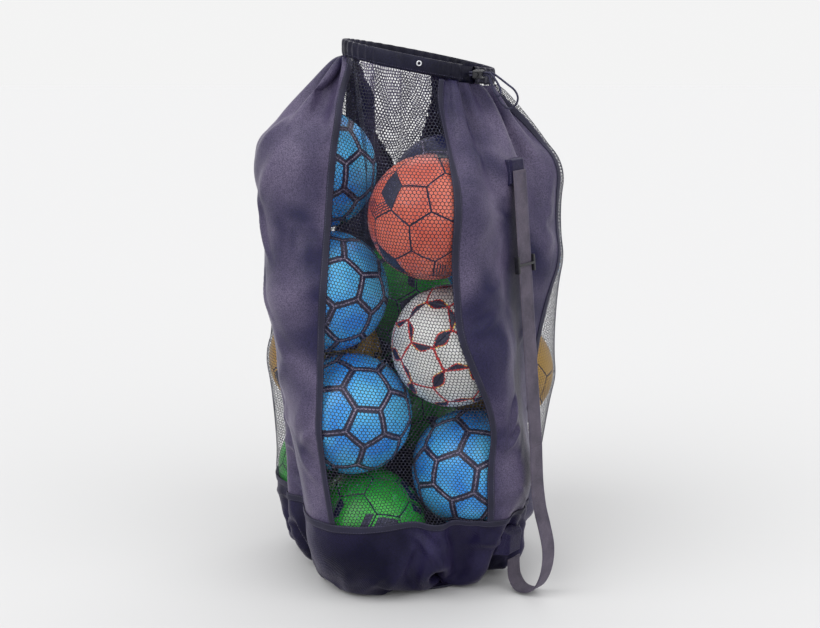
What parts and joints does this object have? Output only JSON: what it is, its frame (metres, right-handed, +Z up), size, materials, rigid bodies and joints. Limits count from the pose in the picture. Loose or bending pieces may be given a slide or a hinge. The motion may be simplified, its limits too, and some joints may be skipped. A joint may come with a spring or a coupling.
{
  "type": "mesh ball bag",
  "caption": "Tall drawstring sack of mesh and cloth panels, full of footballs, with a cord lock at the mouth and an adjustable shoulder strap.",
  "frame": {"origin": "on the floor under the middle of the bag", "axes": "+Z up; the front mesh window faces -Y and the shoulder strap is at the front right, towards +X"},
  "size_m": [0.5769, 0.5771, 1.0001],
  "materials": {
    "navy_cloth": "woven nylon",
    "navy_mesh": "knitted netting",
    "webbing": "woven webbing",
    "cord": "braided",
    "black_plastic": "moulded",
    "steel": "plain",
    "ball_blue": "stitched panels",
    "ball_orange": "stitched panels",
    "ball_white": "stitched panels",
    "ball_gold": "stitched panels",
    "ball_green": "stitched panels",
    "ball_navy": "stitched panels"
  },
  "bodies": {
    "bag": {"front_mesh_panel": "navy_mesh", "right_side_panel": "navy_cloth", "rear_right_mesh_panel": "navy_mesh", "back_panel": "navy_cloth", "rear_left_mesh_panel": "navy_mesh", "left_side_panel": "navy_cloth", "seam_tape_front_right": "webbing", "seam_tape_right": "webbing", "seam_tape_back_right": "webbing", "seam_tape_back_left": "webbing", "seam_tape_left": "webbing", "seam_tape_front_left": "webbing", "boot_seam_tape": "webbing", "base_piping": "webbing", "strap_webbing": "webbing", "base_panel": "navy_cloth", "boot_band": "navy_cloth", "hem_casing": "navy_cloth", "strap_top_patch": "navy_cloth", "strap_bottom_patch": "navy_cloth", "drawcord": "cord", "hem_eyelet": "steel", "ball_upper_left": "ball_blue", "ball_upper_front": "ball_orange", "ball_middle_left": "ball_blue", "ball_middle_front": "ball_white", "ball_lower_left": "ball_blue", "ball_lower_right": "ball_blue", "ball_side_left": "ball_gold", "ball_side_lower_left": "ball_green", "ball_side_right": "ball_blue", "ball_side_lower_right": "ball_gold", "ball_base_front": "ball_green", "ball_back_middle": "ball_green", "ball_back_lower": "ball_green", "ball_base_back": "ball_navy", "ball_upper_back": "ball_navy"},
    "strap_slack": {"strap_loop": "webbing"},
    "slider": {"strap_slider": "black_plastic"},
    "cord_loops": {"drawcord_big_loop": "cord", "drawcord_small_loop": "cord"},
    "cord_lock": {"cord_lock_body": "black_plastic", "cord_lock_spring": "steel"},
    "lock_button": {"cord_lock_button": "black_plastic"}
  },
  "joints": [
    {"name": "strap_swing", "type": "hinge", "parent": "bag", "child": "strap_slack", "pos_m": [0.23065, -0.1802, 0.282], "axis": [0.1535, -0.1199, 0.9808], "range_deg": [-25, 25]},
    {"name": "slider_slide", "type": "slide", "parent": "bag", "child": "slider", "axis": [0.0729, -0.057, -0.9957], "range_m": [-0.06, 0.06]},
    {"name": "loops_lift", "type": "hinge", "parent": "bag", "child": "cord_loops", "pos_m": [0.10827, -0.10406, 0.94265], "axis": [-0.342, -0.9397, 0], "range_deg": [0, 40]},
    {"name": "lock_slide", "type": "slide", "parent": "cord_loops", "child": "cord_lock", "axis": [0.9397, -0.342, 0], "range_m": [0, 0.008]},
    {"name": "button_press", "type": "slide", "parent": "cord_lock", "child": "lock_button", "axis": [0.342, 0.9397, 0], "range_m": [0, 0.0035], "stiffness_N_per_m": 200, "springref_m": -0.004}
  ]
}
